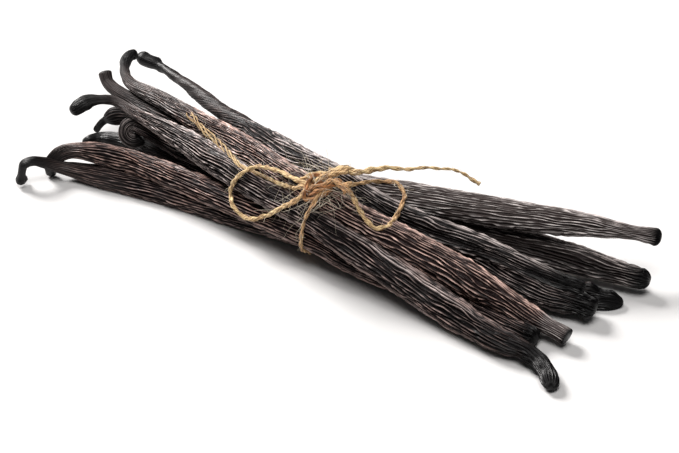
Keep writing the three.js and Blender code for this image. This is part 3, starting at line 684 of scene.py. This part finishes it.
PODS = {
    "pod_1": dict(seed=1, dark=(16, 17), ends=(0.3, 2),
                  girth=[(0, 1.05), (0.004, 1), (0.013, 0.72), (0.05, 0.85), (0.09, 1.15), (0.14, 1.25),
                         (0.2, 1.15), (0.8, 1.1), (0.93, 1.7), (0.98, 1.6), (1, 1)],
                  wrinkles=[(0, 0.2), (0.15, 0.3), (0.25, 0.9), (1, 1)],
                  warmth=[(0, 0), (0.15, 0.4), (0.4, 0.35), (1, 0.2)]),
    "pod_2": dict(seed=2, dark=(9, 5),
                  girth=[(0, 1), (1, 1.08)],
                  wrinkles=[(0, 0.2), (0.06, 0.4), (0.14, 1), (1, 1)],
                  warmth=[(0, 0.1), (0.12, 0.6), (0.4, 0.55), (1, 0.3)],
                  forward=[(0, -6), (0.035, -6), (0.1, 0), (1, 0)]),
    "pod_3": dict(seed=3, pitch=0.7, dark=(13, 26), ends=(1, 1.7),
                  girth=[(0, 0.86), (0.03, 0.86), (0.07, 0.76), (0.13, 0.8), (0.2, 1.02), (0.32, 1.2),
                         (0.5, 1.12), (1, 0.95)],
                  wrinkles=[(0, 0.3), (0.1, 0.4), (0.16, 1.2), (0.78, 1), (0.9, 0.85), (1, 0.6)],
                  warmth=[(0, 0), (0.15, 0.35), (1, 0.25)],
                  dust_and_sheen=[(0, 0), (0.13, 0.15), (0.2, 0.4), (0.4, 0.35), (0.5, 0.2), (0.56, 0.05), (1, 0)],
                  creases=[(0.8, 0.6, -0.8, 0.24, [(0.5, 0), (0.6, 0.7), (0.8, 0.8), (0.86, 0)]),
                           (0.95, 0.2, 0.5, 0.2, [(0.5, 0), (0.58, 1), (0.8, 0.9), (0.86, 0)])]),
    "pod_4": dict(seed=4, dark=(0.5, 11), ends=(0.5, 1),
                  girth=[(0, 0.88), (0.02, 0.8), (0.06, 0.8), (0.15, 1.25), (0.4, 1.2), (0.5, 1.1),
                         (1, 1.15)],
                  wrinkles=[(0, 0.05), (0.04, 0.1), (0.1, 0.4), (0.3, 1), (1, 1)],
                  warmth=[(0, 0), (1, 0.1)],
                  dust_and_sheen=[(0, 0.25), (0.1, 0.15), (0.2, 0), (0.6, 0.15), (1, 0.25)]),
    "pod_5": dict(seed=5, pitch=0.7, grain=0.1, dark=(15, 1), ends=(1, 0.3),
                  girth=[(0, 0.9), (0.1, 0.95), (0.6, 1.2), (0.75, 1.35), (0.88, 1.5), (0.94, 1.4),
                         (0.965, 1.1), (1, 1.2)],
                  wrinkles=[(0, 0.15), (0.1, 0.2), (0.2, 0.45), (0.35, 1), (0.93, 1.1), (0.97, 0.5),
                            (1, 0.5)],
                  warmth=[(0, 0.1), (0.2, 0.5), (0.3, 1), (0.94, 1.2), (0.97, 0.35), (1, 0.3)],
                  dust_and_sheen=[(0, 0), (0.1, 0.15), (0.16, 0.6), (0.22, 0.5), (0.3, 0.15), (0.6, 0.2),
                       (0.94, 0.15), (0.97, 0.85), (1, 0.85)]),
    "pod_6": dict(seed=6, pitch=0.75, dark=(22, 13), longer=0.9,
                  girth=[(0, 1), (0.4, 1.12), (1, 1.1)],
                  wrinkles=[(0, 0.1), (0.1, 0.2), (0.25, 0.35), (0.4, 1), (1, 1)],
                  folds=[(0, 1.8), (0.1, 3), (0.33, 3), (0.42, 1), (1, 1)],
                  twist=[(0, 0), (0.35, 1.3), (1, 1.4)],
                  warmth=[(0, 0), (0.3, 0), (1, 0.2)],
                  dust_and_sheen=[(0, 0), (0.3, 0.05), (0.6, 0.5), (1, 0.5)],
                  creases=[(0.95, -0.35, 0.8, 0.4, [(0.6, 0), (0.7, 1), (0.93, 0.8), (1, 0)])]),
    "pod_7": dict(seed=7, dark=(30, 5),
                  girth=[(0, 1), (0.1, 1), (0.25, 0.95), (0.45, 1.1), (1, 1.1)],
                  wrinkles=[(0, 0.1), (0.15, 0.3), (0.4, 0.8), (1, 0.8)],
                  warmth=[(0, 0), (1, 0.2)],
                  forward=[(0, -1), (0.05, -4.5), (0.22, -4.5), (0.4, -0.5), (1, 0)],
                  lift=[(0, 0), (0.06, 0.8), (0.12, 1.4), (0.24, 1.4), (0.4, 0), (1, 0)]),
    "pod_8": dict(seed=8, pitch=0.66, dark=(9, 3), ends=(1, 1.05),
                  girth=[(0, 1), (0.5, 1.12), (0.75, 1.2), (0.9, 1), (0.935, 0.84), (0.962, 0.74),
                         (0.983, 0.88), (1, 0.84)],
                  wrinkles=[(0, 0.3), (0.2, 0.8), (1, 1)],
                  warmth=[(0, 0), (0.3, 0.2), (1, 0.1)],
                  dust_and_sheen=[(0, 0), (0.4, 0.1), (0.52, 1), (0.9, 1), (1, 0.8)]),
    "pod_9": dict(seed=9, pitch=0.75, dark=(2, 5), ends=(1, 0.75),
                  girth=[(0, 1.45), (0.07, 1.5), (0.1, 1.4), (0.15, 1.5), (0.21, 1.1), (0.32, 1),
                         (0.6, 1.1), (0.88, 1), (0.95, 0.84), (0.98, 0.84), (1, 0.78)],
                  wrinkles=[(0, 0.8), (0.07, 0.8), (0.12, 0.4), (0.2, 0.8), (1, 1)],
                  warmth=[(0, 0), (1, 0.1)],
                  dust_and_sheen=[(0, 0.5), (0.06, 0.5), (0.1, 0), (0.5, 0), (0.68, 0.8), (1, 0.6)],
                  forward=[(0, 6), (0.065, 6), (0.15, 0), (1, 0)],
                  creases=[(0.95, -0.25, 1, 0.45, [(0.55, 0), (0.66, 1), (0.93, 0.9), (1, 0.2)])]),
}


def cad_sections(node):
    """The CAD pod's sections in order from the stem end, and its two poles.

    Its corners are merged, and counted off by the number of edges between each and the stem's pole."""
    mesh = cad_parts[node].data
    places = np.empty(3 * len(mesh.vertices), np.float32)
    mesh.vertices.foreach_get("co", places)
    places = places.reshape(-1, 3).astype(float)
    corners = np.empty(3 * len(mesh.polygons), np.int32)
    mesh.polygons.foreach_get("vertices", corners)
    merged = np.unique(np.round(places / MERGE), axis=0, return_index=True, return_inverse=True)
    points, triangles = places[merged[1]], merged[2].ravel()[corners].reshape(-1, 3)
    edges = np.concatenate([triangles[:, [0, 1]], triangles[:, [1, 2]], triangles[:, [2, 0]]])
    edges = np.unique(np.concatenate([edges, edges[:, ::-1]]), axis=0)
    poles = np.flatnonzero(np.bincount(edges[:, 0]) == CAD_SIDES)
    stem, blossom = poles[np.argsort(points[poles, 0])]
    steps = np.full(len(points), len(points))
    steps[stem] = 0
    while steps[blossom] == len(points):
        np.minimum.at(steps, edges[:, 1], steps[edges[:, 0]] + 1)
    rings = np.stack([points[steps == k] for k in range(1, steps[blossom])])
    return rings, points[stem], points[blossom]


def cad_shape(node):
    """The CAD pod's middle line from pole to pole, an axis across it at each point, and its body's ellipses.

    With a along that axis and b along the one square to it, a section's ellipse is given by twice the means
    of its corners' a^2, a * b and b^2."""
    rings, stem, blossom = cad_sections(node)
    centres = np.concatenate([[stem], rings.mean(1), [blossom]])
    _, side, up = carried_frames(centres, np.array([0.1, 1.0, 0.2]))
    body = slice(CAD_DOME, -CAD_DOME)
    spokes = rings[CAD_DOME - 1:1 - CAD_DOME] - centres[body, None]
    a = np.einsum("rjk,rk->rj", spokes, side[body])
    b = np.einsum("rjk,rk->rj", spokes, up[body])
    return centres, side, 2 * np.stack([(a ** 2).mean(1), (a * b).mean(1), (b ** 2).mean(1)], -1)


def spaced(length, start, end):
    """How far along the pod its sections lie, and how much each shrinks to round the ends.

    They lie evenly along the body. Round an end they go by even angles from its pole: a section's distance
    is one less the angle's cosine, and its size a power of the angle's sine."""
    body = np.linspace(start, length - end, int((length - start - end) / POD_STEP))[1:-1]
    s = np.concatenate([start * (1 - np.cos(CAP)), body, length - end * (1 - np.cos(CAP[::-1]))])
    rounded = np.sin(CAP) ** BLUNT
    return s, np.concatenate([rounded, np.ones(len(body)), rounded[::-1]])


def ellipse_radius(ellipses, measured, side, up):
    """The radius of each ellipse at each turn: sqrt((aa bb - ab^2) / (bb c^2 - 2 ab c q + aa q^2)), where
    c and q are the turn's cosine and sine.

    The axes that the ellipses were measured on lie a little turned from side and up."""
    offset = np.arctan2((measured * up).sum(1), (measured * side).sum(1))[:, None]
    c, q = np.cos(TAU * TURN - offset), np.sin(TAU * TURN - offset)
    aa, ab, bb = ellipses.T[:, :, None]
    return np.sqrt((aa * bb - ab ** 2) / (bb * c ** 2 - 2 * ab * c * q + aa * q ** 2))


def wrinkled(rng, turn, s, girth, pitch, twist):
    """The skin over its section: folds, grain and broken from -1 to 1, ridges and fine ridges from 0 to 1,
    and how strong the ridges are.

    Ridges are a comb round the pod, (0.5 + 0.5 cos phase)^power, with a crest in each pitch of its girth.
    The phase wanders, and a power above one makes the crests narrow and the grooves between them broad."""
    number = max(8, round(girth / (pitch * MM)))
    # the whole comb leans to either side by a few hundredths of a turn, within a few centimetres
    drift = 0.05 * cell_noise(rng, turn, s, 3, 26 * MM) + 0.016 * cell_noise(rng, turn, s, 8, 9 * MM)
    place = turn + drift + twist
    folds = cell_noise(rng, place, s, 5, 20 * MM)
    # each ridge has its own wander, up to half its width, so that ridges join, part and end
    phase = TAU * number * place + 2.8 * cell_noise(rng, place, s, number, 4.5 * MM)
    ridges = (0.5 + 0.5 * np.cos(phase)) ** 1.8
    fine_number = min(round(1.7 * number), AROUND // FINEST)
    phase = TAU * fine_number * place + 3.5 * cell_noise(rng, place, s, 2 * number, 4 * MM)
    fine = (0.5 + 0.5 * np.cos(phase)) ** 1.2
    grain = cell_noise(rng, place, s, 3 * number, 1.3 * MM)
    broken = cell_noise(rng, place, s, 2 * number, 1.7 * MM)
    strong = 0.72 + 0.35 * cell_noise(rng, place, s, 9, 7 * MM) + 0.32 * broken
    return folds, ridges, fine, grain, strong, broken


def creased(creases, share, side, up):
    """What creases and edges add to the skin's height: -depth * exp(-(angle from it / width)^2)."""
    height = np.zeros((len(share), AROUND))
    for front, above, depth, width, shows in creases:
        towards = front * FRONT + above * ABOVE
        place = np.arctan2(up @ towards, side @ towards)[:, None]
        apart = (TAU * TURN - place + math.pi) % TAU - math.pi
        height -= depth * eased(shows, share)[:, None] * np.exp(-(apart / width) ** 2)
    return height


def skin_height(style, rows, s, radius, crease, black):
    """The skin's height over its section in millimetres, and its relief from 0 in a groove to 1 on a crest.

    The height is wrinkles * (ridges + fine ridges + grain) + folds + lumps at the black ends + creases."""
    rng = np.random.default_rng(style["seed"])
    around = np.broadcast_to(TURN, radius.shape)
    far = np.broadcast_to(s[:, None], radius.shape)
    folds, ridges, fine, grain, strong, broken = wrinkled(
        rng, around, far, TAU * radius.mean(), style["pitch"], rows["twist"])
    folds = folds * rows["folds"]
    lumps = cell_noise(rng, around, far, 5, 3 * MM)
    stout = radius / USUAL_RADIUS
    amount = rows["wrinkles"] * np.clip(stout, 0.35, 1.1)
    comb = 0.75 * strong * (ridges - 0.45) + 0.25 * (fine - 0.45) + style["grain"] * grain
    height = amount * comb + 0.22 * folds * np.clip(stout, 0.5, 1.1) + crease
    height += 0.2 * black * lumps * radius / MM
    # the relief sets the skin's colour: crests lighter, as painted highlight, and grooves darker, as painted
    # shade; a raised edge paints lighter and a crease darker
    relief = ridges * (0.72 + 0.3 * fine + 0.42 * broken) + 0.1 * folds + 0.08 * grain + 0.55 * crease
    relief = np.clip(relief, 0, 1)
    # where the wrinkles are low, the skin is between the two and even
    relief = relief + 0.8 * (0.58 - relief) * (1 - np.clip(1.3 * amount, 0, 1))
    return height, relief


def pod_surface(node, style):
    """The pod's rings, its two poles and its attributes.

    A point at turn a lies at middle + f * (r(a) + h) * (cos a * side + sin a * up), where r is the radius of
    the CAD section's ellipse times the girth, f rounds the ends and h is the skin's height."""
    centres, cad_side, ellipses = cad_shape(node)
    cad_s = distances(centres)
    length = cad_s[-1]
    size = np.sqrt(ellipses[:, [0, 2]].mean(1))
    s, shrink = spaced(length, size[0] * style["ends"][0], size[-1] * style["ends"][1])
    share = s / length
    rows = {key: eased(style[key], share)[:, None] for key in ALONG}

    middle = through(cad_s, centres, s)
    along, side, up = carried_frames(middle, through(cad_s, cad_side, s[:1])[0])
    on_body = np.clip(s, cad_s[CAD_DOME], cad_s[-1 - CAD_DOME])
    ellipses = through(cad_s[CAD_DOME:-CAD_DOME], ellipses, on_body, held=True)
    radius = ellipse_radius(ellipses, through(cad_s, cad_side, s), side, up) * rows["girth"] + PLUMP

    # black up to half of that reach from each end, and faded out at one and a half
    from_ends = zip((s, length - s), style["dark"])
    black = sum(np.clip(1.5 - distance / (reach * MM), 0, 1) for distance, reach in from_ends)[:, None]
    crease = creased(style["creases"], share, side, up)
    height, relief = skin_height(style, rows, s, radius, crease, black)

    moved = MM * (rows["forward"] * FRONT + rows["lift"] * ABOVE)
    longer = MM * style["longer"] * along[:CAP_SECTIONS]
    poles = centres[[0, -1]] + moved[[0, -1]]
    poles[0] -= longer[0]
    middle += moved
    middle[:CAP_SECTIONS] -= np.cos(CAP)[:, None] ** 2 * longer
    cos, sin = np.cos(TAU * TURN), np.sin(TAU * TURN)
    out = cos[:, None] * side[:, None] + sin[:, None] * up[:, None]
    points = middle[:, None] + (shrink[:, None] * (radius + height * MM))[..., None] * out
    points[..., 2] = np.maximum(points[..., 2], 0)
    poles[:, 2] = np.maximum(poles[:, 2], 0)
    return points, poles, {
        "relief": relief,
        "warmth": np.broadcast_to(rows["warmth"], radius.shape),
        "tip": np.broadcast_to(np.clip(black, 0, 1), radius.shape),
        # raised edges are painted pale along their length as well: a painted highlight strip
        "dust_and_sheen": np.clip(rows["dust_and_sheen"] + 0.6 * np.clip(crease, 0, 1), 0, 1),
        "straight": np.stack(np.broadcast_arrays(
            PATTERN_RADIUS * cos, PATTERN_RADIUS * sin, s[:, None] + style["seed"]), -1),
    }


def make_pod(node, style):
    """One pod in place of its CAD solid."""
    surface = Surface()
    surface.add_tube(*pod_surface(node, {**USUAL, **style}))
    piece = surface.piece("vanilla_" + node, SKIN)
    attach(piece, "root")
    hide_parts(node)


for node, style in PODS.items():
    make_pod(node, style)

# --- floor and light ------------------------------------------------------------------------------

FLOOR_HALF = 3.0            # half the floor's side
LAMP_COLOUR = "#fffcfa"
LAMP_AIM = (0, 0, 10 * MM)
FILL = 0.06                 # strength of the even white light from all round


def make_floor():
    """A square of matt white paper: it has no gloss, and throws soft light back at the undersides."""
    corners = [(x * FLOOR_HALF, y * FLOOR_HALF, 0) for x, y in ((-1, -1), (1, -1), (1, 1), (-1, 1))]
    mesh = bpy.data.meshes.new("floor")
    mesh.from_pydata(corners, [], [(0, 1, 2, 3)])
    material, tree = new_material("matt white paper")
    shader = add_node(tree, "ShaderNodeBsdfDiffuse", {}, {"Color": linear("#d4d4d4")})
    add_node(tree, "ShaderNodeOutputMaterial", {}, {"Surface": shader.outputs[0]})
    mesh.materials.append(material)
    floor = bpy.data.objects.new("floor", mesh)
    bpy.context.scene.collection.objects.link(floor)


def add_lamp(name, place, side, watts):
    """A square soft box that shines on the bundle."""
    lamp = bpy.data.objects.new(name, bpy.data.lights.new(name, "AREA"))
    lamp.data.shape = "SQUARE"
    lamp.data.size = side
    lamp.data.energy = watts
    lamp.data.color = linear(LAMP_COLOUR)[:3]
    look_at(lamp, place, LAMP_AIM)
    bpy.context.scene.collection.objects.link(lamp)


make_floor()
add_lamp("overhead soft box", place=(0.45, -0.5, 2.35), side=1.3, watts=43)
add_lamp("left soft box", place=(-1.88, 0.2, 1.6), side=0.9, watts=108)
world = bpy.data.worlds.new("studio")
world.use_nodes = True
background = world.node_tree.nodes["Background"]
background.inputs["Color"].default_value = linear("#ffffff")
background.inputs["Strength"].default_value = FILL
bpy.context.scene.world = world
bpy.context.scene.view_settings.view_transform = "Standard"
